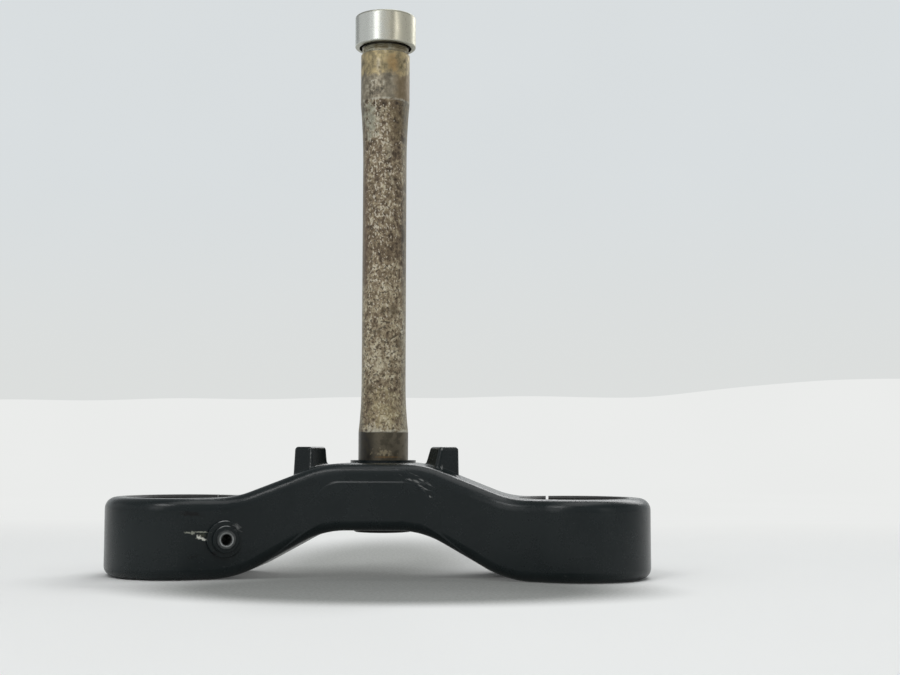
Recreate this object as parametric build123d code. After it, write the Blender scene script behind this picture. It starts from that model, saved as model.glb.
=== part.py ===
from build123d import *
import os
from math import acos, atan2, cos, hypot, radians, sin, sqrt, tan

# A motorcycle's lower triple clamp: a cast bridge with two split fork rings, the steering stem that is
# pressed into it, the nut on the stem's top and the screws that close the rings.
# Millimetres. The origin is on the steering axis at the lower bearing's shoulder. +Z runs up the stem,
# -Y is the front, where the forks stand, and +X is to the right seen from the front.

# Steering stem
SEAT_DIAMETER = 25.0
LOWER_SEAT_LENGTH = 14.0
UPPER_SEAT_START = 182.0
UPPER_SEAT_LENGTH = 25.5
WAIST_DIAMETER = 22.2
LOWER_FLARE = 24.0
UPPER_FLARE = 31.0
NECK_DIAMETER = 22.4
NECK_LENGTH = 3.4
THREAD_DIAMETER = 24.0
STEM_BORE = 15.0
SHANK_DIAMETER = 26.0
PRESS_DIAMETER = 29.2
PRESS_LEDGE = 9.0
STEM_FOOT = 3.0
STEM_CHAMFER = 0.7

# Stem nut
NUT_DIAMETER = 31.1
NUT_HEIGHT = 16.2
NUT_EDGE = 0.9
NUT_RECESS_DIAMETER = 26.6
NUT_RECESS_DEPTH = 1.8
SOCKET_FLATS = 17.0
SOCKET_DEPTH = 6.5
STEM_BELOW_SOCKET = 0.5
THREAD_CLEARANCE = 0.05

# Fork rings
FORK_SPACING = 189.0
FORK_OFFSET = 30.0
FORK_BORE = 50.0
RING_WALL = 11.0
RING_HEIGHT = 37.4
RING_DROP = 17.4
BORE_CHAMFER = 1.0

# Bridge between the rings
PAD_DIAMETER = 32.8
PAD_HEIGHT = 1.2
BRIDGE_HEIGHT = 31.3
CROWN_HALF = 23.2
CROWN_SLOPE = 21.3
CROWN_ROUND = 50.0
SHOULDER_ROUND = 42.0
ARCH_HALF = 23.1
ARCH_SLOPE = 28.9
ARCH_ROUND = 42.0
HEEL_ROUND = 45.0
FRONT_SET_BACK = 16.0
FRONT_FLAT = 22.0
HUB_RADIUS = 24.0
REAR_HOLLOW = 50.0
TOP_EDGE = 5.5
BOTTOM_EDGE = 5.0

# Low panel on the bridge's front
PANEL_TOP = 9.4
PANEL_TOP_HALF = 19.8
PANEL_SIDE_SLOPE = 45.0
PANEL_CORNER = 12.0
PANEL_PROUD = 0.4
PANEL_BEVEL = 62.0

# Steering stop lugs
STOP_X = 32.6
STOP_Y = 26.0
STOP_TOP = 6.6
STOP_FACE = 14.2
STOP_SIDE = 9.7
STOP_TURN = 65.0
LEFT_STOP_DRAFT = 3.0
LEFT_STOP_LEAN = 1.2
RIGHT_STOP_DRAFT = 7.0
RIGHT_STOP_LEAN = 8.0
STOP_ROOT = 16.0
STOP_CORNER = 1.8
STOP_EDGE = 1.7
STOP_FOOT_ROUND = 2.0

# Tapped boss for the hose bracket, beside the left ring
BOSS_INWARD = 27.6
BOSS_TURN = 28.0
BOSS_BASE = 17.2
BOSS_BASE_PROUD = 1.4
BOSS_STEP = 12.6
BOSS_STEP_PROUD = 1.4
BOSS_RIM = 9.4
BOSS_RIM_PROUD = 0.5
BOSS_EDGE = 0.4
BOSS_ROOT = 8.0
BOSS_HOLE = 5.0
BOSS_HOLE_DEPTH = 11.0

# Pinch ears and screws
SLIT = 1.3
SLIT_INWARD = 12.5
EAR_THICKNESS = 12.0
EAR_REACH = 16.0
EAR_INSET = 3.0
EAR_ROUND = 4.0
SCREW_SPACING = 18.0
SCREW_SETBACK = 8.0
SCREW_DIAMETER = 8.0
SCREW_CLEARANCE = 0.3
SCREW_LENGTH = 25.0
HEAD_DIAMETER = 13.0
HEAD_HEIGHT = 8.0
HEAD_EDGE = 0.6
KEY_FLATS = 6.0
KEY_DEPTH = 4.0

# Heights and places worked out from the sizes above
HALF = FORK_SPACING / 2
RING_RADIUS = FORK_BORE / 2 + RING_WALL
RING_TOP = -RING_DROP
RING_BOTTOM = RING_TOP - RING_HEIGHT
RING_MIDDLE = (RING_TOP + RING_BOTTOM) / 2
CROWN = -PAD_HEIGHT
CROWN_END = CROWN_HALF + (CROWN - RING_TOP) / tan(radians(CROWN_SLOPE))
ARCH = CROWN - BRIDGE_HEIGHT
ARCH_END = ARCH_HALF + (ARCH - RING_BOTTOM) / tan(radians(ARCH_SLOPE))
STEM_END = ARCH - STEM_FOOT
UPPER_SEAT_END = UPPER_SEAT_START + UPPER_SEAT_LENGTH
NUT_BOTTOM = UPPER_SEAT_END + NECK_LENGTH
NUT_TOP = NUT_BOTTOM + NUT_HEIGHT
SOCKET_FLOOR = NUT_TOP - SOCKET_DEPTH
FRONT_AHEAD = FRONT_SET_BACK - RING_RADIUS
FRONT = -FORK_OFFSET + FRONT_AHEAD
FRONT_SIDE = HALF - FRONT_FLAT
FRONT_HOLLOW = (FRONT_SIDE**2 + FRONT_AHEAD**2 - RING_RADIUS**2) / (2 * FRONT_SET_BACK)
EAR_X = HALF - SLIT_INWARD
EAR_END = -FORK_OFFSET + RING_RADIUS + EAR_REACH
SCREW_Y = EAR_END - SCREW_SETBACK
EAR_FACE = SLIT / 2 + EAR_THICKNESS
BEYOND = 20.0
TOUCH = 0.01


def polar(centre, radius, angle):
    return (centre[0] + radius * cos(angle), centre[1] + radius * sin(angle))


def arc(centre, radius, start, end):
    points = [polar(centre, radius, a) for a in (start, (start + end) / 2, end)]
    return ThreePointArc(*points)


def hex_prism(flats, height):
    return extrude(RegularPolygon(flats / 2, 6, major_radius=False), height)


def plan_outline():
    # Seen from above: a flat front with a shallow hollow on each side that runs out to the ring, and a
    # hollow on each side at the rear, between the ring and the hub round the stem. Every arc runs on
    # smoothly into its neighbours.
    ring = (HALF, -FORK_OFFSET)
    front_centre = (FRONT_FLAT, FRONT - FRONT_HOLLOW)
    front_touch = atan2(front_centre[1] - ring[1], front_centre[0] - ring[0])
    apart = hypot(*ring)
    to_hub = HUB_RADIUS + REAR_HOLLOW
    to_ring = RING_RADIUS + REAR_HOLLOW
    hub_touch = acos((to_hub**2 + apart**2 - to_ring**2) / (2 * to_hub * apart))
    hub_touch += atan2(ring[1], ring[0])
    rear_centre = polar((0, 0), to_hub, hub_touch)
    rear_touch = atan2(rear_centre[1] - ring[1], rear_centre[0] - ring[0])
    half = [arc(front_centre, FRONT_HOLLOW, radians(90), front_touch + radians(180))]
    half.append(arc(ring, RING_RADIUS, front_touch, rear_touch))
    half.append(arc(rear_centre, REAR_HOLLOW, rear_touch - radians(180), hub_touch - radians(180)))
    outline = Curve() + half + [mirror(edge, about=Plane.YZ) for edge in half]
    outline += Line((-FRONT_FLAT, FRONT), (FRONT_FLAT, FRONT))
    outline += arc((0, 0), HUB_RADIUS, hub_touch, radians(180) - hub_touch)
    return outline


def profile_line(half, height, end, ring_height, rounds):
    # One edge of the bridge seen from the front: level in the middle, a slope, and level at the rings.
    far = HALF + RING_RADIUS + BEYOND
    right = [(far, ring_height), (end, ring_height), (half, height)]
    left = [(-x, z) for x, z in reversed(right)]
    return FilletPolyline(*right, *left, radius=[*rounds, *reversed(rounds)])


def front_profile():
    top = profile_line(CROWN_HALF, CROWN, CROWN_END, RING_TOP, [SHOULDER_ROUND, CROWN_ROUND])
    bottom = profile_line(ARCH_HALF, ARCH, ARCH_END, RING_BOTTOM, [HEEL_ROUND, ARCH_ROUND])
    ends = [Line(top @ 0, bottom @ 0), Line(top @ 1, bottom @ 1)]
    return make_face(Plane.XZ * (Curve() + [top, bottom] + ends))


def half_way(x):
    # The height half way between the top and the underside at a place along the bridge.
    share = min(1.0, max(0.0, (abs(x) - CROWN_HALF) / (CROWN_END - CROWN_HALF)))
    middle = (CROWN + ARCH) / 2
    return middle + share * (RING_MIDDLE - middle)


def rims(block, outline):
    # The edges that run along the plan outline, and not the upright seams between its walls.
    found = []
    for edge in block.edges().filter_by(Axis.Z, reverse=True):
        middle = edge @ 0.5
        if outline.distance_to(Vertex(middle.X, middle.Y, 0)) < TOUCH:
            found.append(edge)
    return found


def bridge():
    outline = plan_outline()
    tall = RING_HEIGHT + RING_DROP + 2 * BEYOND
    block = Pos(0, 0, RING_BOTTOM - BEYOND) * extrude(make_face(outline), tall)
    block = block & extrude(front_profile(), FORK_OFFSET + RING_RADIUS + BEYOND, both=True)
    upper = [e for e in rims(block, outline) if (e @ 0.5).Z > half_way((e @ 0.5).X)]
    block = fillet(upper, TOP_EDGE)
    lower = [e for e in rims(block, outline) if (e @ 0.5).Z < half_way((e @ 0.5).X)]
    return fillet(lower, BOTTOM_EDGE)


def panel(body):
    # A flat plate a little proud of the front, with a bevelled edge. It runs out into the arms where the
    # front comes forward to the rings.
    low = ARCH - BEYOND
    foot = PANEL_TOP_HALF + (-PANEL_TOP - low) / tan(radians(PANEL_SIDE_SLOPE))
    points = [(-foot, low), (-PANEL_TOP_HALF, -PANEL_TOP), (PANEL_TOP_HALF, -PANEL_TOP), (foot, low)]
    outline = FilletPolyline(*points, radius=PANEL_CORNER) + Line(points[0], points[-1])
    window = make_face(Plane.XZ.offset(-FRONT) * outline)
    block = extrude(window, TOP_EDGE, dir=(0, 1, 0))
    block += extrude(window, PANEL_PROUD, dir=(0, -1, 0), taper=PANEL_BEVEL)
    return Pos(0, -PANEL_PROUD, 0) * body & block


def stop_lug(side):
    # A tapering block set at an angle, so that a corner of it points to the front. Its foot spreads
    # towards the stem.
    draft = LEFT_STOP_DRAFT if side < 0 else RIGHT_STOP_DRAFT
    lean = LEFT_STOP_LEAN if side < 0 else RIGHT_STOP_LEAN
    spread = 2 * STOP_ROOT * tan(radians(draft))
    shift = STOP_ROOT * tan(radians(lean))
    turn = Rot(0, 0, -side * STOP_TURN)
    top = RectangleRounded(STOP_FACE, STOP_SIDE, STOP_CORNER)
    foot = RectangleRounded(STOP_FACE + spread, STOP_SIDE + spread, STOP_CORNER)
    top_place = Pos(side * STOP_X, -STOP_Y, STOP_TOP) * turn
    foot_place = Pos(side * (STOP_X - shift), -STOP_Y, STOP_TOP - STOP_ROOT) * turn
    lug = loft([foot_place * foot, top_place * top], ruled=True)
    return fillet(lug.faces().sort_by(Axis.Z)[-1].edges(), STOP_EDGE)


def lug_feet(body, lug):
    # The edges where a lug's sides meet the bridge's top.
    feet = []
    for edge in body.edges():
        low = edge.bounding_box().max.Z < CROWN + STOP_EDGE
        if low and lug.distance_to(Vertex(edge @ 0.5)) < TOUCH:
            feet.append(edge)
    return feet


def boss():
    # Three round steps on the front wall beside the left ring, turned in towards the stem.
    x = -(HALF - BOSS_INWARD)
    wall = FRONT - FRONT_HOLLOW + sqrt(FRONT_HOLLOW**2 - (abs(x) - FRONT_FLAT) ** 2)
    out = Vector(sin(radians(BOSS_TURN)), -cos(radians(BOSS_TURN)), 0)
    plane = Plane(Vector(x, wall, RING_MIDDLE), x_dir=(0, 0, 1), z_dir=out)
    steps = [(BOSS_BASE, BOSS_BASE_PROUD), (BOSS_STEP, BOSS_STEP_PROUD), (BOSS_RIM, BOSS_RIM_PROUD)]
    solids = []
    proud = 0
    for diameter, height in steps:
        proud += height
        step = extrude(plane.offset(-BOSS_ROOT) * Circle(diameter / 2), BOSS_ROOT + proud)
        end = step.faces().sort_by(Axis(plane.origin, plane.z_dir))[-1]
        solids.append(fillet(end.edges(), BOSS_EDGE))
    hole = extrude(plane.offset(proud) * Circle(BOSS_HOLE / 2), -BOSS_HOLE_DEPTH)
    return solids, hole


def ears(side):
    inner = -FORK_OFFSET + FORK_BORE / 2 + BORE_CHAMFER
    depth = EAR_END - inner
    block = Box(2 * EAR_FACE, depth, RING_HEIGHT - 2 * EAR_INSET)
    block = Pos(side * EAR_X, inner + depth / 2, RING_MIDDLE) * block
    rear = block.edges().filter_by(Axis.X).group_by(Axis.Y)[-1]
    return fillet(rear, EAR_ROUND)


def screw_places():
    return [(side, level) for side in (-1, 1) for level in (-SCREW_SPACING / 2, SCREW_SPACING / 2)]


def screw_frame(side, level):
    # Z runs from the head's seat on the outer ear in towards the stem.
    origin = Vector(side * (EAR_X + EAR_FACE), SCREW_Y, RING_MIDDLE + level)
    return Plane(origin, x_dir=(0, 0, 1), z_dir=(-side, 0, 0))


def lower_clamp():
    body = bridge()
    body += panel(body)
    for side in (-1, 1):
        lug = stop_lug(side)
        body += lug
        body = fillet(lug_feet(body, lug), STOP_FOOT_ROUND)
    body += Pos(0, 0, CROWN) * Cylinder(PAD_DIAMETER / 2, 2 * PAD_HEIGHT)
    for side in (-1, 1):
        body += ears(side)
    boss_steps, boss_hole = boss()
    for step in boss_steps:
        body += step
    body -= boss_hole
    for side in (-1, 1):
        body -= fork_bore(side)
    for side, level in screw_places():
        frame = screw_frame(side, level)
        body -= extrude(frame * Circle(SCREW_DIAMETER / 2 + SCREW_CLEARANCE), EAR_FACE)
        body -= extrude(frame * Circle(SCREW_DIAMETER / 2 + THREAD_CLEARANCE), 2 * EAR_FACE)
    press_height = -PRESS_LEDGE - STEM_END
    body -= Pos(0, 0, STEM_END + press_height / 2) * Cylinder(PRESS_DIAMETER / 2, press_height)
    body -= Cylinder(SHANK_DIAMETER / 2, 2 * PRESS_LEDGE + BEYOND)
    return body


def fork_bore(side):
    # The fork tube's bore with its two chamfers, and the slit that lets the ring close on the tube.
    radius = FORK_BORE / 2
    wide = radius + BORE_CHAMFER
    high = RING_TOP + BEYOND
    low = RING_BOTTOM - BEYOND
    points = [(0, high), (wide, high), (wide, RING_TOP), (radius, RING_TOP - BORE_CHAMFER)]
    points += [(radius, RING_BOTTOM + BORE_CHAMFER), (wide, RING_BOTTOM), (wide, low), (0, low)]
    bore = revolve(make_face(Plane.XZ * Polyline(*points, close=True)), Axis.Z)
    length = RING_RADIUS + EAR_REACH + BEYOND
    slit = Box(SLIT, length, RING_HEIGHT + BEYOND)
    slit = Pos(-side * SLIT_INWARD, length / 2, RING_MIDDLE) * slit
    return Pos(side * HALF, -FORK_OFFSET, 0) * (bore + slit)


def steering_stem():
    bore = STEM_BORE / 2
    seat = SEAT_DIAMETER / 2
    waist = WAIST_DIAMETER / 2
    shank = SHANK_DIAMETER / 2
    press = PRESS_DIAMETER / 2
    neck = NECK_DIAMETER / 2
    thread = THREAD_DIAMETER / 2
    stem_top = SOCKET_FLOOR - STEM_BELOW_SOCKET
    waist_low = (waist, LOWER_SEAT_LENGTH + LOWER_FLARE)
    waist_high = (waist, UPPER_SEAT_START - UPPER_FLARE)
    foot = [(seat, LOWER_SEAT_LENGTH), (seat, 0), (shank, 0), (shank, -PRESS_LEDGE), (press, -PRESS_LEDGE)]
    foot += [(press, STEM_END + STEM_CHAMFER), (press - STEM_CHAMFER, STEM_END), (bore, STEM_END)]
    head = [(bore, stem_top), (thread - STEM_CHAMFER, stem_top), (thread, stem_top - STEM_CHAMFER)]
    head += [(thread, NUT_BOTTOM), (neck, NUT_BOTTOM), (neck, UPPER_SEAT_END)]
    head += [(seat - STEM_CHAMFER, UPPER_SEAT_END), (seat, UPPER_SEAT_END - STEM_CHAMFER)]
    head += [(seat, UPPER_SEAT_START)]
    outline = Curve() + Polyline(*foot, *head)
    outline += TangentArc(waist_high, (seat, UPPER_SEAT_START), tangent=(0, 1))
    outline += Line(waist_high, waist_low)
    outline += TangentArc(waist_low, (seat, LOWER_SEAT_LENGTH), tangent=(0, -1))
    return revolve(make_face(Plane.XZ * outline), Axis.Z)


def stem_nut():
    nut = Pos(0, 0, (NUT_BOTTOM + NUT_TOP) / 2) * Cylinder(NUT_DIAMETER / 2, NUT_HEIGHT)
    nut = fillet(nut.edges().filter_by(GeomType.CIRCLE), NUT_EDGE)
    thread = THREAD_DIAMETER / 2 + THREAD_CLEARANCE
    thread_height = NUT_HEIGHT - SOCKET_DEPTH
    nut -= Pos(0, 0, NUT_BOTTOM + thread_height / 2) * Cylinder(thread, thread_height)
    nut -= Pos(0, 0, NUT_BOTTOM) * Cylinder(NUT_RECESS_DIAMETER / 2, 2 * NUT_RECESS_DEPTH)
    nut -= Pos(0, 0, SOCKET_FLOOR) * hex_prism(SOCKET_FLATS, SOCKET_DEPTH)
    return nut


def pinch_screw(side, level):
    head = Pos(0, 0, -HEAD_HEIGHT / 2) * Cylinder(HEAD_DIAMETER / 2, HEAD_HEIGHT)
    head = fillet(head.edges().filter_by(GeomType.CIRCLE).sort_by(Axis.Z)[0], HEAD_EDGE)
    shank = Pos(0, 0, SCREW_LENGTH / 2) * Cylinder(SCREW_DIAMETER / 2, SCREW_LENGTH)
    screw = head + shank - Pos(0, 0, -HEAD_HEIGHT) * hex_prism(KEY_FLATS, KEY_DEPTH)
    return screw_frame(side, level) * screw


def pinch_screws():
    return Compound(children=[pinch_screw(side, level) for side, level in screw_places()])


def main():
    os.makedirs("parts", exist_ok=True)
    nodes = {
        "lower_clamp": lower_clamp(),
        "steering_stem": steering_stem(),
        "stem_nut": stem_nut(),
        "pinch_screws": pinch_screws(),
    }
    for name, shape in nodes.items():
        export_step(shape, f"parts/{name}.step")
        print(name, len(shape.solids()), "solids", round(shape.volume / 1000, 1), "cubic centimetres")


main()
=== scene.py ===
# %% [markdown]
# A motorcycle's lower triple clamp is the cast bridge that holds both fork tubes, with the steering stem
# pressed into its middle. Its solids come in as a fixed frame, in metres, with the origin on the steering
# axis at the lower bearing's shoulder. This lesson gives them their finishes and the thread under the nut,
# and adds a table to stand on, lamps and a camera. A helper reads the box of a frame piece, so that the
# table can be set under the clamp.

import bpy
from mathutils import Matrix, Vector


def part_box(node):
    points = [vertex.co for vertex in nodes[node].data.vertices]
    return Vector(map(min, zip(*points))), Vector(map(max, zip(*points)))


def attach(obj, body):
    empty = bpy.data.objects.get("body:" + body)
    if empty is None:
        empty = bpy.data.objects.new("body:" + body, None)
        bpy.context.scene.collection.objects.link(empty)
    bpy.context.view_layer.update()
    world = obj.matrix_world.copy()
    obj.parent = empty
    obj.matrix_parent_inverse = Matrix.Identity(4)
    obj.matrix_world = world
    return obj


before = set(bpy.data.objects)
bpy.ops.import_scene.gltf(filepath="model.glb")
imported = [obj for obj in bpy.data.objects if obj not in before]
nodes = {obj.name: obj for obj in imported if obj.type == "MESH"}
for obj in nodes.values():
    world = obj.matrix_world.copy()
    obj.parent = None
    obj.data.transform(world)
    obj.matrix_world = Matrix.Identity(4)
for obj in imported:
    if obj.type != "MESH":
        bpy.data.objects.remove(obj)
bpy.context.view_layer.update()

import math

import bmesh
import bpy
from mathutils import Matrix, Vector

scene = bpy.context.scene
print("pieces in the frame:", {name: len(piece.data.polygons) for name, piece in nodes.items()})

# %% [markdown]
# The picture was taken low, from the side where the fork tubes stand, a little to the right of the stem
# and tipped up a few degrees. The rings' rims and the stem's outline fix the lens and the place of the
# camera, so they are written here as one place, three turns and a focal length.

# %% Camera
EYE = Vector((0.0754, -0.6847, 0.0053))
TURN = math.radians(3.5)
TILT = math.radians(4.7)
ROLL = math.radians(0.1)
UPRIGHT = math.radians(90)
lens = bpy.data.cameras.new("camera")
lens.sensor_fit = "HORIZONTAL"
lens.sensor_width = 36.0
lens.lens = 54.56
camera = bpy.data.objects.new("camera", lens)
scene.collection.objects.link(camera)
turn = Matrix.Rotation(TURN, 4, "Z") @ Matrix.Rotation(UPRIGHT + TILT, 4, "X")
camera.matrix_world = Matrix.Translation(EYE) @ turn @ Matrix.Rotation(ROLL, 4, "Z")
scene.camera = camera
print("camera at", [round(v, 4) for v in EYE], "lens", lens.lens)

# %% [markdown]
# A finish is a small sum: how far a place lies from a chip, how high up the stem it is, how rough the
# casting is there. Wiring each plus and times by hand hides that sum, so one class stands for a socket
# and turns Python's own operators into Math nodes. Every other node comes from one method that takes the
# node's type, its settings and its inputs. The frame is in metres and the marks are in millimetres, so
# `rise` and `near` take their places in millimetres.

# %% Sums of sockets
MM = 0.001


class Wire:
    def __init__(self, tree, socket=None):
        self.tree = tree
        self.socket = socket

    def node(self, kind, settings=None, inputs=None, output=0):
        made = self.tree.nodes.new(kind)
        for name, value in (settings or {}).items():
            if name == "stops":
                while len(made.color_ramp.elements) < len(value):
                    made.color_ramp.elements.new(1.0)
                for element, (place, colour) in zip(made.color_ramp.elements, value):
                    element.position = place
                    element.color = (*colour, 1.0)
            else:
                setattr(made, name, value)
        for name, value in (inputs or {}).items():
            if isinstance(value, Wire):
                self.tree.links.new(value.socket, made.inputs[name])
            else:
                made.inputs[name].default_value = value
        return Wire(self.tree, made.outputs[output])

    def other(self, name):
        return Wire(self.tree, self.socket.node.outputs[name])

    def math(self, operation, *values):
        return self.node("ShaderNodeMath", {"operation": operation}, dict(enumerate(values)))

    def __add__(self, value):
        return self.math("ADD", self, value)

    def __radd__(self, value):
        return self.math("ADD", value, self)

    def __sub__(self, value):
        return self.math("SUBTRACT", self, value)

    def __rsub__(self, value):
        return self.math("SUBTRACT", value, self)

    def __mul__(self, value):
        return self.math("MULTIPLY", self, value)

    def __truediv__(self, value):
        return self.math("DIVIDE", self, value)

    def __pow__(self, value):
        return self.math("POWER", self, value)

    def most(self, value):
        return self.math("MAXIMUM", self, value)

    def absolute(self):
        return self.math("ABSOLUTE", self)

    def step(self, low, high):
        settings = {"interpolation_type": "SMOOTHSTEP"}
        return self.node("ShaderNodeMapRange", settings, {"Value": self, "From Min": low, "From Max": high})

    def rise(self, low, high):
        return self.step(low * MM, high * MM)

    def near(self, middle, full, none):
        return 1 - (self - middle * MM).absolute().rise(full, none)


print("a socket can now be added, taken away, multiplied, divided, raised and compared")

# %% [markdown]
# A few more helpers are used by every finish: a material with a shader in it, the place of a point in the
# frame, soft noise at a given size in millimetres, colours laid over each other, and a bump. Noise reads
# Object coordinates, which are metres in the frame, so a pattern keeps its size and runs on from one piece
# to the next.

# %% Finish helpers


def new_finish(name):
    material = bpy.data.materials.new(name)
    material.use_nodes = True
    wire = Wire(material.node_tree)
    shader = material.node_tree.nodes["Principled BSDF"]
    return material, wire, shader


def object_place(wire):
    return wire.node("ShaderNodeTexCoord", output="Object")


def apart(place):
    x = place.node("ShaderNodeSeparateXYZ", {}, {0: place})
    return x, x.other("Y"), x.other("Z")


def feed(wire, shader, **inputs):
    for name, value in inputs.items():
        socket = shader.inputs[name.replace("_", " ")]
        if isinstance(value, Wire):
            wire.tree.links.new(value.socket, socket)
        else:
            socket.default_value = value


def noise(place, size, detail=2.0, rough=0.5, stretch=None, shift=(0.0, 0.0, 0.0)):
    if stretch or any(shift):
        scale = stretch or (1.0, 1.0, 1.0)
        place = place.node("ShaderNodeMapping", {}, {"Vector": place, "Location": shift, "Scale": scale})
    inputs = {"Vector": place, "Scale": 1 / (size * MM), "Detail": detail, "Roughness": rough}
    return place.node("ShaderNodeTexNoise", {}, inputs)


def ramp(stops, height):
    return height.node("ShaderNodeValToRGB", {"stops": stops}, {"Fac": height})


def mix(low, high, share):
    wire = next(value for value in (share, low, high) if isinstance(value, Wire))
    low = low if isinstance(low, Wire) else (*low, 1.0)
    high = high if isinstance(high, Wire) else (*high, 1.0)
    return wire.node("ShaderNodeMix", {"data_type": "RGBA"}, {0: share, 6: low, 7: high}, 2)


def lay(colour, layers):
    for tone, share in layers:
        colour = mix(colour, tone, share)
    return colour


def bump(height, depth):
    return height.node("ShaderNodeBump", {}, {"Height": height, "Distance": depth * MM, "Strength": 1.0})


print("helpers ready, one millimetre is", MM)

# %% [markdown]
# The casting wears one coat of satin black paint over bare aluminium. Most marks on it are patches: an
# oval round a measured place on the front, frayed by noise so that no edge looks drawn. One helper gives
# the distance from such a place, in ovals, 0 at its middle and 1 on its edge, and the other turns it into
# a patch with a soft edge. Both read two of the object's coordinates, here across and up. Radii and heights
# are given in millimetres, and a place that a node needs whole is in metres.

# %% Places on the casting
BOSS_WALL = (-0.0669, -0.0576, -0.0361)
BOSS_TURN = math.radians(28.0)
FORK_X = 94.5 * MM
FORK_Y = -30.0 * MM
FORK_BORE = 25.0


def oval(at, middle, half, lean=0.0):
    dx = at[0] - middle[0] * MM
    dz = at[1] - middle[1] * MM
    c, s = math.cos(math.radians(lean)), math.sin(math.radians(lean))
    along = (dx * c + dz * s) / (half[0] * MM)
    across = (dz * c - dx * s) / (half[1] * MM)
    return (along * along + across * across) ** 0.5


def patch(at, middle, half, reach, fray=0.0, lean=0.0):
    return (1.0 - oval(at, middle, half, lean) + fray).step(*reach)


paint, wire, shader = new_finish("satin_black_paint")
place = object_place(wire)
x, y, z = apart(place)
at = (x, z)
front = 1 - y.rise(-48.0, -44.0)
print("paint starts at", paint.name)

# %% [markdown]
# Paint over a casting is never flat. Three sizes of noise stand for the cast skin, the paint's orange
# peel and the slow change of gloss, and a fourth breaks up the edges of smudges. A fifth, cut high, leaves
# a few grains of dust.

# %% Skin of the paint
fine = noise(place, 0.9, 3.0)
peel = noise(place, 2.6, 2.0)
cloud = noise(place, 18.0, 3.0)
broken = noise(place, 2.0, 4.0, 0.65)
dust = noise(place, 1.3, 2.0, 0.5, shift=(0.3, 0.1, 0.2)).step(0.70, 0.76)
fine_swing = fine - 0.5
ragged = (broken - 0.5) * 3.0
uneven = fine_swing * 2.6
print("four sizes of noise and a little dust")

# %% [markdown]
# A knock left of the boss took the paint off in a streak, a hair line and a blob, with primer showing
# round the blob. Each chip is one or two ovals with a crisp, uneven edge, and the larger of two values
# joins them.

# %% Chips
CRISP = 0.35


def flake(middle, half, lean, cut):
    return patch(at, middle, half, (cut, cut + CRISP), uneven, lean)


streak = flake((-82.4, -32.8), (2.4, 0.50), -4.0, 0.20).most(flake((-80.6, -33.0), (1.1, 1.1), 30.0, 0.15))
hair = flake((-76.9, -32.6), (3.3, 0.36), -3.0, 0.05)
blob = flake((-77.8, -35.0), (1.7, 1.15), -25.0, 0.15).most(flake((-76.4, -35.7), (1.9, 0.80), -15.0, 0.10))
chip = streak.most(hair).most(blob) * front
primer = flake((-76.6, -34.4), (3.0, 2.0), -10.0, 0.30) * front
print("chips: streak, hair line and blob")

# %% [markdown]
# The bridge's panel was scuffed across its right upper corner, and something rubbed beside the boss. Below
# that rub, a pale patch on the boss's right side is a painted highlight. A scuff is made of strokes, so its
# noise is turned to the stroke's slope and drawn out along it.

# %% Scuffs
SLOPE = -25.0
turn_to_slope = {"Vector": place, "Rotation": (0.0, math.radians(SLOPE), 0.0)}
turned = place.node("ShaderNodeMapping", {}, turn_to_slope)
dragged = noise(turned, 1.1, 2.0, 0.6, (0.16, 1.0, 1.0)) - 0.5
scuff = patch(at, (21.6, -9.7), (9.0, 2.0), (0.42, 1.05), dragged * 4.4, SLOPE)
scuff = scuff.most(flake((27.5, -16.5), (0.9, 0.5), -30.0, 0.10))
rub_and_painted_highlight = patch(at, (-61.3, -30.6), (2.7, 1.3), (0.0, 0.9), dragged * 2.0, -50.0)
# painted highlight: a pale patch on the boss's right side
rub_and_painted_highlight = rub_and_painted_highlight.most(patch(at, (-62.2, -35.6), (1.0, 2.4), (0.0, 1.0), uneven * 0.4) * 0.45)
wear_and_painted_highlight = scuff.most(rub_and_painted_highlight * 0.8) * front
print("marks: a scuff and a rub")

# %% [markdown]
# The front edge of each steering stop is knocked bare, the left one all the way down and the right one at
# its two ends. Three dark smudges lie to the left of the boss, where dirt has settled on the paint.

# %% Worn stops and smudges
on_stop = (1 - y.rise(-33.5, -32.5)) * y.rise(-38.5, -37.5) * z.rise(-4.5, -3.5)
left_edge = x.near(-31.2, 0.12, 0.42) * (1 - z.rise(5.8, 6.4))
right_edge = x.near(31.8, 0.30, 0.80) * (1 - z.rise(-3.0, -1.5) + z.rise(4.5, 5.8))
bare_edges = left_edge * (0.30 + fine.step(0.44, 0.56) * 0.70) + right_edge * fine.step(0.46, 0.56)
wear_and_painted_highlight = wear_and_painted_highlight.most(bare_edges * on_stop)
smudge = patch(at, (-81.5, -24.2), (5.2, 1.3), (-0.1, 0.6), ragged, -8.0)
smudge = smudge.most(patch(at, (-70.8, -42.4), (1.7, 0.9), (0.0, 0.6), ragged * 0.5, -30.0))
smudge = smudge.most(patch(at, (-80.5, -43.6), (3.6, 2.0), (0.0, 1.2), ragged, -10.0) * 0.6)
print("two worn edges and three smudges")

# %% [markdown]
# The boss stands askew on the front, so its marks are measured from its own axis. A Mapping node moves the
# object's coordinates to the boss and turns them to that axis. From there a place has a distance from the
# axis and a height above the wall that the boss stands on.

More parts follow.
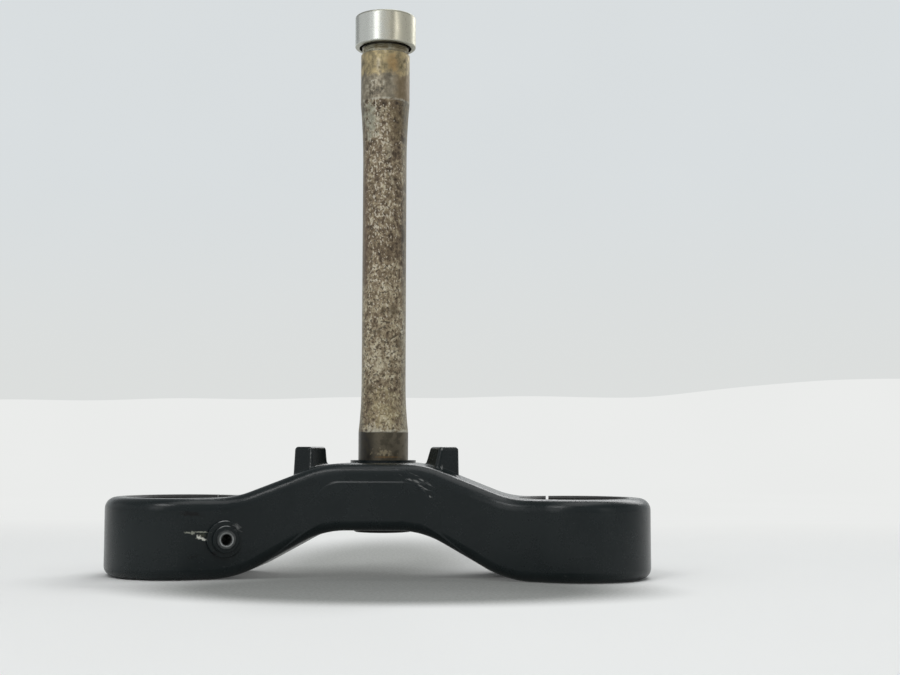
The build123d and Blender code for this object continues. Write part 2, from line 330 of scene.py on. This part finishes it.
# %% Axis of the boss
BOSS_HOLE = 2.5
BOSS_LIP = 3.1
BOSS_RIM = 4.7
BOSS_STEP = 6.3
BOSS_BASE = 8.6
BASE_TOP = 1.4
STEP_TOP = 2.8
RIM_TOP = 3.3
BOSS_DEEP = -12.0
to_boss = {"Vector": place, "Location": BOSS_WALL, "Rotation": (0.0, 0.0, BOSS_TURN)}
boss = place.node("ShaderNodeMapping", {"vector_type": "TEXTURE"}, to_boss)
boss_x, boss_y, boss_z = apart(boss)
boss_out = 0 - boss_y
boss_round = (boss_x * boss_x + boss_z * boss_z) ** 0.5
near_boss = (1 - boss_round.rise(BOSS_RIM, BOSS_RIM + 0.2)) * boss_out.rise(BOSS_DEEP, BOSS_DEEP + 0.2)
print("boss turned by", round(math.degrees(BOSS_TURN)), "degrees")

# %% [markdown]
# The boss's rim was faced after painting, so it is bare, and so is the thread inside, which is coloured
# nearly black as painted shade in the hole. Round the hole its lip has worn brightest, and is painted
# brighter still below as a highlight, and short arcs of painted highlight lie on top of the two steps. The
# fork bores are machined too, but dull and dirty.

# %% Machined places


# a painted highlight along the top of one step of the boss
def painted_highlight_arc(radius, top, soft):
    inner = boss_round.rise(radius - soft, radius - 0.15)
    outer = 1 - boss_round.rise(radius + 0.06, radius + 0.12)
    return inner * outer * boss_out.rise(top - 1.0, top - 0.6)


ragged_round = boss_round + fine_swing * (1.2 * MM)
faced = 1 - ragged_round.rise(BOSS_RIM - 1.0, BOSS_RIM - 0.1)
rim = near_boss * boss_out.rise(STEP_TOP + 0.03, STEP_TOP + 0.2) * faced
in_hole = 1 - boss_round.rise(BOSS_HOLE + 0.02, BOSS_HOLE + 0.06)
# painted shade: the bare thread inside the hole is coloured nearly black
boss_thread_in_painted_shade = near_boss * in_hole * (1 - boss_out.rise(RIM_TOP - 0.3, RIM_TOP - 0.1))
lip_wear_and_painted_highlight = (boss_round + fine_swing * (0.6 * MM)).near(BOSS_LIP, 0.08, 0.34)
# painted highlight: the lip is brighter below
lip_wear_and_painted_highlight = rim * lip_wear_and_painted_highlight * (1 - boss_z.rise(-1.0, 3.0) * 0.55)
on_top = boss_x.near(-0.8, 1.4, 3.2) * boss_z.rise(0.0, 1.0)
# painted highlights: short arcs on top of the two steps
painted_highlight_arcs = (painted_highlight_arc(BOSS_BASE, BASE_TOP, 0.35) + painted_highlight_arc(BOSS_STEP, STEP_TOP, 0.34)) * on_top
from_fork = ((x.absolute() - FORK_X) ** 2.0 + (y - FORK_Y) ** 2.0) ** 0.5
bore = 1 - from_fork.rise(FORK_BORE + 1.1, FORK_BORE + 1.3)
print("boss rim, boss thread and two fork bores are bare")

# %% [markdown]
# Now the layers are laid over each other, from paint to metal. The boss's thread is only a ripple in the
# bump, one millimetre a turn, because its hole is too small to show more.

# %% Layers of the casting
BOSS_PITCH = 1.0 * MM
bare = chip.most(rim)
metal = mix((0.32, 0.33, 0.28), (0.82, 0.82, 0.74), blob * broken.step(0.40, 0.54))
colour = mix((0.0052, 0.0098, 0.0106), (0.0086, 0.0136, 0.0145), cloud.step(0.3, 0.7))
colour = lay(colour, [
    ((0.0016, 0.0024, 0.0026), smudge * 0.95),
    ((0.060, 0.062, 0.032), primer * 0.55),
    ((0.10, 0.105, 0.10), dust * 0.18),
    ((0.24, 0.245, 0.24), wear_and_painted_highlight * 0.80),
    ((0.34, 0.35, 0.35), painted_highlight_arcs * 0.85),
    (metal, chip),
    ((0.11, 0.115, 0.115), rim),
    ((0.50, 0.52, 0.51), lip_wear_and_painted_highlight),
    ((0.030, 0.031, 0.030), bore),
    ((0.060, 0.062, 0.058), boss_thread_in_painted_shade),
])
gloss = 0.27 + (cloud - 0.5) * 0.12 + fine_swing * 0.04 + wear_and_painted_highlight * 0.3 + bare * 0.18 + bore * 0.25
angle = boss_out * (2 * math.pi / BOSS_PITCH)
ripple = angle.math("SINE", angle) * boss_thread_in_painted_shade
relief = peel * 0.030 + fine * 0.016 - chip * 0.05 - wear_and_painted_highlight * 0.02 + ripple * 0.3
shine = bare.most(boss_thread_in_painted_shade) * 0.85
feed(wire, shader, Base_Color=colour, Roughness=gloss, Metallic=shine, Normal=bump(relief, 0.6))
feed(wire, shader, Specular_IOR_Level=0.29)
print("paint nodes:", len(paint.node_tree.nodes))

# %% [markdown]
# The stem is turned steel. Its thinner middle was never ground or painted, so it has rusted in a fine
# speckle, from dark pits through brown and tan to flecks of pale metal. That is one long colour ramp, and
# the height on it is a sum: a fine grain, spots, slow clouds, a lift towards its foot where the real stem
# is paler, and a painted highlight, a lift down the middle of its front. One flank is browner.

# %% Rusted middle of the stem
RUST = [
    (0.00, (0.046, 0.032, 0.019)),
    (0.26, (0.152, 0.110, 0.067)),
    (0.50, (0.310, 0.250, 0.158)),
    (0.74, (0.550, 0.486, 0.343)),
    (1.00, (0.820, 0.768, 0.620)),
]
stem_finish, wire, shader = new_finish("stained_steel")
place = object_place(wire)
x, y, z = apart(place)
at = (x, z)
grain = noise(place, 1.6, 3.0, 0.62, (1.0, 1.0, 0.8))
spots = noise(place, 3.4, 2.0, 0.55, shift=(0.1, 0.5, 0.3))
clouds = noise(place, 14.0, 2.0, 0.5, (1.0, 1.0, 0.55))
grain_swing = grain - 0.5
spot_swing = spots - 0.5
cloud_swing = clouds - 0.5
low = 1 - z.rise(60.0, 125.0)
# painted highlight: a paler band down the middle of the stem's front, which lifts the rust and crowds the
# flecks
painted_highlight_band = x.near(-1.5, 2.0, 9.0)
left_flank = (1 - x.rise(-9.5, -6.0)) * z.rise(75.0, 100.0) * (1 - z.rise(145.0, 165.0))
rust = 0.25 + low * 0.28 + painted_highlight_band * 0.04 - left_flank * 0.12
rust = rust + grain_swing * 1.25 + spot_swing * 1.0 + cloud_swing * 0.8
rusty = ramp(RUST, rust)
print("rust stops:", len(RUST))

# %% [markdown]
# Two finer marks lie over that: pale flecks where metal shows, crowded down the middle of the front as
# painted glints, and dark pits, crowded where the rust is palest. Each is a small noise cut at a level, and
# slower noises move that level about so that they come in drifts.

# %% Flecks and pits
fleck_noise = noise(place, 1.0, 1.0, 0.5, (1.0, 1.0, 0.7), (0.2, 0.7, 0.4))
flecks_and_painted_glints = (fleck_noise + painted_highlight_band * 0.10 + cloud_swing * 0.35 + spot_swing * 0.3).step(0.66, 0.74)
pit_noise = noise(place, 1.15, 1.0, 0.5, shift=(0.4, 0.2, 0.1))
pits = (pit_noise + low * 0.09 + spot_swing * 0.35).step(0.63, 0.71)
rusty = lay(rusty, [
    ((0.690, 0.630, 0.505), flecks_and_painted_glints * 0.70),
    ((0.060, 0.043, 0.024), pits * 0.80),
])
print("flecks and pits")

# %% [markdown]
# Some stains on the front are too large to be left to chance: dark ones low on the stem, and pale runs and
# patches. They are ovals again, joined by the larger of two values and frayed by the grain. A brown stain
# lies on the left flank, and both edges of the stem are painted greyer than its front, as a reflection.

# %% Stains on the front
facing = 1 - y.rise(-3.0, 0.0)


def stains(places):
    joined = None
    for middle, half, lean in places:
        stain = 1.0 - oval(at, middle, half, lean)
        joined = joined.most(stain) if joined else stain
    return (joined + grain_swing * 2.8).step(0.0, 0.7) * facing


dark_places = [
    ((0.5, 74.5), (1.6, 2.8), 0.0), ((5.8, 74.5), (2.2, 3.4), 0.0), ((-1.2, 64.0), (1.7, 1.9), 0.0),
    ((8.5, 58.0), (2.0, 3.0), 0.0), ((-6.2, 36.0), (3.6, 2.2), 15.0), ((3.8, 33.6), (2.5, 2.0), 10.0),
]
pale_places = [
    ((-1.0, 69.2), (2.0, 2.6), 0.0), ((3.8, 73.5), (1.2, 2.5), 0.0), ((3.2, 155.0), (1.7, 6.0), 0.0),
    ((4.8, 141.0), (6.2, 0.9), -65.0), ((-2.7, 172.0), (7.4, 1.7), 61.0), ((-1.0, 48.0), (4.0, 9.0), 0.0),
]
# painted reflection: both edges of the stem are coloured greyer
painted_edge_reflection = (x.absolute() + spot_swing * (3.0 * MM)).rise(8.5, 10.8)
rusty = lay(rusty, [
    ((0.100, 0.073, 0.038), stains(dark_places) * 0.70),
    ((0.520, 0.470, 0.335), stains(pale_places) * 0.42 * (1 - pits * 0.7)),
    ((0.200, 0.140, 0.096), left_flank * 0.55),
    ((0.275, 0.262, 0.205), painted_edge_reflection * 0.50),
])
print("dark stains:", len(dark_places), "pale stains:", len(pale_places))

# %% [markdown]
# Under the upper seat the rust is tinted: a pale, greenish bloom on the left and oil-brown on the right.
# The foot has yellowed, and just above the lower seat it is pale. All four are ovals with edges broken up
# by the spots or the grain.

# %% Tints of the rust
SOFT = (0.0, 0.9)
frayed = spot_swing * 3.0
bloom = patch(at, (-6.0, 172.0), (6.5, 12.0), SOFT, frayed) * facing
oily = patch(at, (7.5, 172.0), (6.5, 14.0), SOFT, frayed)
yellowed = patch(at, (2.0, 24.0), (11.0, 15.0), SOFT, frayed) * facing
pale_foot = patch(at, (-3.0, 15.5), (6.5, 2.4), (0.0, 0.8), grain_swing * 3.0)
rusty = lay(rusty, [
    ((0.330, 0.342, 0.270), bloom * 0.66 * (1 - pits * 0.8)),
    ((0.185, 0.142, 0.066), oily * 0.35 * facing),
    ((0.470, 0.390, 0.205), yellowed * 0.40),
    ((0.600, 0.560, 0.440), pale_foot * 0.55),
])
print("bloom, oil, a yellowed foot and a pale one")

# %% [markdown]
# The two bearing seats are ground and wear the stains of old grease and of the bearings. The upper one is
# gold above and grey-brown below, with whitish specks on the left and rust to the right. The same grain
# and spots drive its colours, so it is mottled in the same way, only more softly. Each of its two colours
# is a ramp.

# %% Stained upper seat
GOLD = [
    (0.00, (0.150, 0.118, 0.058)),
    (0.30, (0.300, 0.250, 0.145)),
    (0.60, (0.500, 0.400, 0.215)),
    (1.00, (0.680, 0.610, 0.440)),
]
GREY = [
    (0.00, (0.100, 0.088, 0.066)),
    (0.45, (0.255, 0.222, 0.160)),
    (0.80, (0.430, 0.390, 0.300)),
    (1.00, (0.640, 0.610, 0.510)),
]
blot = spot_swing * 1.5 + grain_swing * 0.9
# painted shade: the gold darkens towards both edges of the seat
gold_with_painted_edge_shade = lay(ramp(GOLD, blot + 0.46 - x.absolute() * 12.0), [
    ((0.300, 0.170, 0.055), patch(at, (5.4, 200.0), (4.6, 7.5), SOFT, blot) * 0.6),
    ((0.620, 0.575, 0.460), patch(at, (-2.2, 199.5), (2.2, 6.0), (0.2, 1.0), blot) * 0.5),
])
specks = grain_swing * 2.2 * patch(at, (-4.0, 188.0), (7.0, 7.0), (0.0, 0.8), 0.1)
spotted_x = x + spot_swing * (6.0 * MM)
grey = mix(ramp(GREY, blot * 0.8 + specks + 0.44), (0.200, 0.135, 0.060), spotted_x.rise(4.5, 8.5) * 0.6)
upper = mix(grey, gold_with_painted_edge_shade, (z + spot_swing * (8.0 * MM)).rise(193.5, 197.0))
print("gold stops:", len(GOLD), "grey stops:", len(GREY))

# %% [markdown]
# Above the upper seat comes a pale worn corner, painted brighter at the front as a highlight, then the
# threaded neck, dull olive below and painted black close under the nut as the nut's shadow. The lower seat
# is dark with mottled grease, nearly black on its left and grey at its very edge there, with tan specks and
# a rusty line round its foot.

# %% Neck and lower seat
SEAT_TOP = 207.5
above_seat = z.rise(SEAT_TOP + 0.1, SEAT_TOP + 0.5)
corner = z.rise(SEAT_TOP - 0.9, SEAT_TOP - 0.5) * (1 - above_seat)
# painted highlight: the worn corner is brighter at the front
front_painted_highlight = patch(at, (-1.3, 207.3), (6.0, 3.0), (0.0, 0.4))
neck_and_painted_shadow = mix((0.400, 0.380, 0.290), (0.240, 0.205, 0.130), (spots + x * 14.0).step(0.40, 0.60))
# painted shadow: the neck turns black close under the nut
neck_and_painted_shadow = mix(neck_and_painted_shadow, (0.022, 0.019, 0.014), z.rise(SEAT_TOP + 2.5, SEAT_TOP + 3.7))
upper = lay(upper, [
    ((0.700, 0.690, 0.580), corner * (0.30 + front_painted_highlight * 0.55 + blot * 0.6)),
    (neck_and_painted_shadow, above_seat),
])
grease = mix((0.034, 0.031, 0.026), (0.128, 0.110, 0.076), spotted_x.rise(-7.5, -1.0))
grease = mix(grease, (0.052, 0.044, 0.028), spots.step(0.44, 0.62) * 0.6)
grease = mix((0.110, 0.108, 0.094), grease, x.rise(-12.0, -10.0))
tan_specks = patch(at, (1.8, 3.6), (5.5, 2.2), (0.20, 0.9), grain_swing * 5.0)
rusty_line = patch(at, (3.0, 1.6), (8.0, 0.55), (0.0, 0.5), grain_swing * 1.4)
lower = lay(grease, [
    ((0.430, 0.360, 0.230), tan_specks * 0.65),
    ((0.210, 0.130, 0.060), rusty_line * 0.8),
])
print("neck from", SEAT_TOP, "mm up")

# %% [markdown]
# The zones are joined by height, with a pale line where each seat meets the middle, and the shank inside
# the clamp is dark. The ground seats keep a metal sheen, while the rust is duller and lies in pits, so the
# bump follows the same sum as the colour.

# %% Layers of the stem
LOWER_SEAT = 14.0
UPPER_SEAT = 182.0
shank = 1 - z.rise(-12.0, -10.0)
edge = spot_swing * (1.4 * MM)
above_lower = (z + edge * 0.5).rise(LOWER_SEAT - 0.2, LOWER_SEAT + 0.3)
above_middle = (z + edge * 0.4).rise(UPPER_SEAT - 0.2, UPPER_SEAT + 0.3)
in_middle = above_lower * (1 - above_middle)
upper_lip = z.near(UPPER_SEAT, 0.3, 0.8)
lower_lip = z.near(LOWER_SEAT + 0.4, 0.4, 0.9)
lips = (upper_lip * 0.45 + lower_lip * 0.5) * (spots + grain * 0.5).step(0.62, 0.86)
colour = lay(lower, [
    ((0.012, 0.012, 0.012), shank),
    (rusty, above_lower),
    (upper, above_middle),
    ((0.560, 0.540, 0.450), lips),
])
turning = noise(place, 0.5, 2.0, 0.5, (0.03, 0.03, 1.0))
gloss = 0.40 + in_middle * 0.10 + spot_swing * 0.20
shine = 0.60 - in_middle * 0.25
relief = (rust.step(0.0, 0.8) * 0.4 + flecks_and_painted_glints * 0.3 - pits * 0.5) * in_middle + turning * 0.06
feed(wire, shader, Base_Color=colour, Roughness=gloss, Metallic=shine, Normal=bump(relief, 0.18))
print("stem nodes:", len(stem_finish.node_tree.nodes))

# %% [markdown]
# The nut was polished on a lathe, so it is nearly a mirror with very fine rings round it. The rings are
# noise that changes quickly up the axis and hardly at all round it. Its right side has yellowed and gone
# duller, and its underside is darker and duller. Its top edge is duller too and carries a dark line of
# painted shade, and the recess under it is painted black as shade.

# %% Polished nut
NUT_FOOT = 210.9
NUT_TOP = 227.1
RECESS_RADIUS = 13.3
RECESS_TOP = 213.0
nut_finish, wire, shader = new_finish("polished_steel")
place = object_place(wire)
x, y, z = apart(place)
rings = noise(place, 0.4, 2.0, 0.5, (0.03, 0.03, 1.0))
stain_swing = noise(place, 4.0, 3.0, 0.6, (1.0, 1.0, 0.6)) - 0.5
yellow = (x + stain_swing * (8.0 * MM)).rise(-4.0, 6.0)
tired = (x + stain_swing * (6.0 * MM)).rise(6.0, 11.0)
speck = noise(place, 1.1, 2.0, 0.5).step(0.58, 0.70) * (0.15 + tired * 0.85)
under = 1 - z.rise(NUT_FOOT + 0.2, NUT_FOOT + 0.9)
inside = 1 - ((x * x + y * y) ** 0.5).rise(RECESS_RADIUS + 0.05, RECESS_RADIUS + 0.15)
# painted shade: the recess under the nut is coloured nearly black
recess_in_painted_shade = inside * (1 - z.rise(RECESS_TOP, RECESS_TOP + 0.2))
# painted shade: a dark line along the nut's top edge
top_edge_in_painted_shade = z.rise(NUT_TOP - 1.3, NUT_TOP - 0.7) * (1 - z.rise(NUT_TOP - 0.1, NUT_TOP))
colour = lay(mix((0.69, 0.71, 0.665), (0.69, 0.655, 0.52), yellow), [
    ((0.55, 0.54, 0.44), tired * 0.7),
    ((0.34, 0.32, 0.23), speck * 0.5),
    ((0.36, 0.36, 0.31), under * 0.85),
    ((0.046, 0.040, 0.027), recess_in_painted_shade),
    ((0.34, 0.34, 0.27), top_edge_in_painted_shade * 0.8),
])
gloss = 0.27 + (rings - 0.5) * 0.04 + stain_swing * 0.08 + speck * 0.12 + tired * 0.10
gloss = gloss + (under + top_edge_in_painted_shade) * 0.15 + recess_in_painted_shade * 0.3
feed(wire, shader, Base_Color=colour, Roughness=gloss, Metallic=1.0, Normal=bump(rings, 0.001))
print("nut nodes:", len(nut_finish.node_tree.nodes))

# %% [markdown]
# The pinch screws close the fork rings from behind. They are plated steel that has dulled to a dark grey,
# with the plating rubbed brighter in places.

# %% Dark screws
screw_finish, wire, shader = new_finish("dulled_plating")
place = object_place(wire)
rubbed = noise(place, 2.5, 4.0, 0.6).step(0.45, 0.7)
grit = noise(place, 0.5, 2.0)
colour = mix((0.045, 0.044, 0.040), (0.20, 0.195, 0.18), rubbed * 0.7)
gloss = 0.42 + (grit - 0.5) * 0.2
feed(wire, shader, Base_Color=colour, Roughness=gloss, Metallic=0.9, Normal=bump(grit, 0.03))
print("screw nodes:", len(screw_finish.node_tree.nodes))

# %% [markdown]
# The frame's meshes already have the right shapes, so they keep them, and each node only gets its finish.

# %% Dress the frame
finishes = {
    "lower_clamp": paint,
    "steering_stem": stem_finish,
    "stem_nut": nut_finish,
    "pinch_screws": screw_finish,
}
for name, finish in finishes.items():
    piece = nodes[name]
    if not piece.material_slots:
        piece.data.materials.append(finish)
    for slot in piece.material_slots:
        slot.material = finish
    print(name, "wears", finish.name)

# %% [markdown]
# Above the upper seat the stem is cut with a fine thread for the nut, and nearly three turns of it show
# under the nut. The frame has a plain neck there, so the thread is one small piece: a ridge of three edges
# spun round the axis while it climbs, which is how a lathe cuts it. The ridge's feet lie just inside the
# neck, so no gap shows.

# %% Thread under the nut
NECK = 11.2 * MM
CREST = 11.85 * MM
PITCH = 1.0 * MM
START = 207.9 * MM
TURNS = 2.6
STEPS_A_TURN = 72
FOOT = NECK - 0.1 * MM

thread = bmesh.new()
ridge = [(FOOT, -0.48), (CREST, -0.06), (CREST, 0.06), (FOOT, 0.48)]
row = [thread.verts.new((radius, 0.0, START + (0.5 + up) * PITCH)) for radius, up in ridge]
edges = [thread.edges.new(pair) for pair in zip(row, row[1:])]
steps = round(STEPS_A_TURN * TURNS)
bmesh.ops.spin(
    thread, geom=row + edges, cent=(0, 0, 0), axis=(0, 0, 1), angle=2 * math.pi * TURNS, steps=steps,
    dvec=(0, 0, PITCH * TURNS / steps), use_merge=False,
)
bmesh.ops.recalc_face_normals(thread, faces=thread.faces)
thread_mesh = bpy.data.meshes.new("stem_thread")
thread.to_mesh(thread_mesh)
thread.free()
thread_mesh.materials.append(stem_finish)
stem_thread = bpy.data.objects.new("stem_thread", thread_mesh)
scene.collection.objects.link(stem_thread)
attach(stem_thread, "root")
print("thread faces:", len(thread_mesh.polygons), "top", max(v.co.z for v in thread_mesh.vertices))

# %% [markdown]
# The part stands on a white cloth laid over a table, in front of a pale wall. Both are sheets: a row of
# points drawn in side view and extruded sideways. A sheet can also be cut into columns and lifted by a
# rule, more and more towards its far edge, which the cloth needs.

# %% Sheets
COLUMNS = 240


def sheet(name, profile, half, finish, lift=None):
    mesh = bmesh.new()
    row = [mesh.verts.new((-half, y, z)) for y, z in profile]
    edges = [mesh.edges.new(pair) for pair in zip(row, row[1:])]
    grown = bmesh.ops.extrude_edge_only(mesh, edges=edges)["geom"]
    moved = [item for item in grown if isinstance(item, bmesh.types.BMVert)]
    bmesh.ops.translate(mesh, verts=moved, vec=(2 * half, 0, 0))
    if lift:
        long_edges = [edge for edge in mesh.edges if edge.calc_length() > half]
        bmesh.ops.subdivide_edges(mesh, edges=long_edges, cuts=COLUMNS - 1, use_grid_fill=True)
        low, high = profile[0][1], profile[-1][1]
        for vert in mesh.verts:
            vert.co.z += lift(vert.co.x) * (vert.co.z - low) / (high - low)
    bmesh.ops.recalc_face_normals(mesh, faces=mesh.faces)
    data = bpy.data.meshes.new(name)
    mesh.to_mesh(data)
    mesh.free()
    data.materials.append(finish)
    for face in data.polygons:
        face.use_smooth = True
    piece = bpy.data.objects.new(name, data)
    scene.collection.objects.link(piece)
    print(name, "faces:", len(data.polygons))


print("a lifted sheet is cut into", COLUMNS, "columns")

# %% [markdown]
# Cloth and wall are dull and nearly white. Where they are meant as a pale background they show their own
# colour to the camera and to shiny metal, whatever light falls on them, and stay an ordinary dull surface
# to all other rays. A share says how much of that showing a place gets.

# %% Stage finishes


def stage_finish(name, colour):
    material, wire, shader = new_finish(name)
    drift = noise(object_place(wire), 260.0, 2.0)
    tint = mix([value * 0.97 for value in colour], colour, drift)
    feed(wire, shader, Base_Color=tint, Roughness=0.9, Specular_IOR_Level=0.1)
    return material, wire, shader, tint


def show_plainly(wire, shader, tint, share):
    path = wire.node("ShaderNodeLightPath", output="Is Camera Ray")
    seen = path + path.other("Is Glossy Ray") + path.other("Is Transmission Ray")
    shown = wire.node("ShaderNodeEmission", {}, {"Color": tint, "Strength": 1.0})
    dull = Wire(wire.tree, shader.outputs[0])
    either = wire.node("ShaderNodeMixShader", {}, {0: seen * share, 1: dull, 2: shown})
    wire.tree.links.new(either.socket, wire.tree.nodes["Material Output"].inputs["Surface"])


print("two helpers for cloth and wall")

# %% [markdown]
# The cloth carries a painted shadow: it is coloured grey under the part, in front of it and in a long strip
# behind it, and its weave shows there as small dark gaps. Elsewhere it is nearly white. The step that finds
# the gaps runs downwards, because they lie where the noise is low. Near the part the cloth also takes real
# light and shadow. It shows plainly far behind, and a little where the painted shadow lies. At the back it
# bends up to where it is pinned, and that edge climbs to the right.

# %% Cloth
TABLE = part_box("lower_clamp")[0].z
CLOTH_NEAR = -2.2
CLOTH_FLAT = 0.6
BEND_FROM = 1.25
BEND = 0.16
BEND_ANGLES = (0.0, 0.3, 0.6, 0.9, 1.2, 1.45)
CLIMB = 0.026
CLIMB_FROM = 0.22
CLIMB_OVER = 0.32
SWAY = 0.0012
SWAY_RATE = 23.0
LEFT_SAG = 0.006


def pinned(x):
    share = min(max((x - CLIMB_FROM) / CLIMB_OVER, 0.0), 1.0)
    climb = CLIMB * share * share * (3 - 2 * share)
    return climb + SWAY * math.sin(SWAY_RATE * x) + LEFT_SAG * min(x, 0.0)


white_cloth, wire, shader, tint = stage_finish("white_cloth", (0.84, 0.85, 0.84))
place = object_place(wire)
x, y, z = apart(place)
at = (x, y)
# painted shadow: the cloth is coloured grey under the part, in front of it and in a long strip behind it
painted_shadow_in_front = patch(at, (14.0, -92.0), (135.0, 74.0), (0.0, 0.45))
painted_shadow_behind = patch(at, (-12.0, 50.0), (84.0, 260.0), (0.0, 0.7))
painted_shadow = painted_shadow_in_front.most(painted_shadow_behind)
gaps = noise(place, 1.4, 2.0, 0.6).step(0.62, 0.38)
tint = lay(tint, [
    ((0.42, 0.43, 0.415), painted_shadow_behind),
    ((0.27, 0.28, 0.27), painted_shadow_in_front),
    ((0.12, 0.12, 0.115), gaps * 0.22 * painted_shadow),
])
feed(wire, shader, Base_Color=tint)
show_plainly(wire, shader, tint, y.rise(50.0, 500.0).most(painted_shadow * 0.35))
bend = [(BEND_FROM + BEND * math.sin(a), TABLE + BEND - BEND * math.cos(a)) for a in BEND_ANGLES]
sheet("cloth", [(CLOTH_NEAR, TABLE), (CLOTH_FLAT, TABLE), *bend], 3.0, white_cloth, pinned)
print("table at", round(TABLE, 4))

# %% [markdown]
# The wall is a plain sheet further back, all of it shown plainly. Its pale blue-grey turns a little warmer
# towards its foot, so one height mixes two colours.

# %% Wall
WALL_Y = 1.75
WALL_FOOT = -1.5
WALL_TOP = 0.88
pale_wall, wire, shader, tint = stage_finish("pale_wall", (0.705, 0.740, 0.755))
x, y, z = apart(object_place(wire))
tint = mix((0.716, 0.733, 0.724), tint, z.rise(80.0, 550.0))
show_plainly(wire, shader, tint, 1.0)
sheet("wall", [(WALL_Y, WALL_FOOT), (WALL_Y, WALL_TOP)], 4.0, pale_wall)

# %% [markdown]
# The light is soft. One box hangs overhead, a little to the right, and shows along the right arm's top.
# One above the camera, to the left, draws the thin pale line along the left arm. A big one far behind
# throws a soft shadow forwards. Three large, dim ones in front and at both sides stand for the room's
# walls, which the paint mirrors, and two low ones beside the camera show in the polished nut as upright
# streaks. A box's level is how bright its face is, whatever its size.

# %% Lamps
CLAMP = (0.0, 0.0, 0.0)
STEM = (0.0, 0.0, 0.1)
UPPER_STEM = (0.0, 0.0, 0.15)
LAMPS = [
    ("right_behind", (0.95, 2.65, 1.85), CLAMP, (3.0, 1.8), 3.9),
    ("overhead", (0.22, -0.10, 1.45), CLAMP, (1.30, 0.80), 1.6),
    ("upper_left", (-0.39, -0.77, 1.10), CLAMP, (0.45, 0.35), 6.0),
    ("front_room", (-0.70, -2.75, 1.45), CLAMP, (5.0, 3.0), 0.25),
    ("left_room", (-2.40, -0.30, 0.75), STEM, (3.0, 1.4), 0.28),
    ("right_room", (2.40, -0.40, 0.70), STEM, (4.2, 1.4), 0.24),
    ("lower_left", (-0.56, -1.06, 0.55), UPPER_STEM, (0.42, 0.60), 1.3),
    ("lower_right", (0.88, -0.74, 0.55), UPPER_STEM, (0.30, 0.60), 0.8),
]
for name, stand, aim, size, level in LAMPS:
    lamp = bpy.data.lights.new(name, "AREA")
    lamp.shape = "RECTANGLE"
    lamp.size, lamp.size_y = size
    lamp.energy = level * math.pi * size[0] * size[1]
    box = bpy.data.objects.new(name, lamp)
    scene.collection.objects.link(box)
    box.location = stand
    box.rotation_euler = (Vector(aim) - Vector(stand)).to_track_quat("-Z", "Y").to_euler()
    box.visible_camera = False
print("lamps:", [setting[0] for setting in LAMPS])

# %% [markdown]
# The rest of the room gives a dim, even light from all sides, which a world's background does. The plain
# view transform keeps the colours as they were mixed.

# %% Room light
ROOM_COLOUR = (0.96, 0.98, 1.0, 1.0)
ROOM_LEVEL = 0.33
world = bpy.data.worlds.new("room")
world.use_nodes = True
scene.world = world
glow = world.node_tree.nodes["Background"]
glow.inputs["Color"].default_value = ROOM_COLOUR
glow.inputs["Strength"].default_value = ROOM_LEVEL
scene.view_settings.view_transform = "Standard"
print("room light", ROOM_LEVEL)
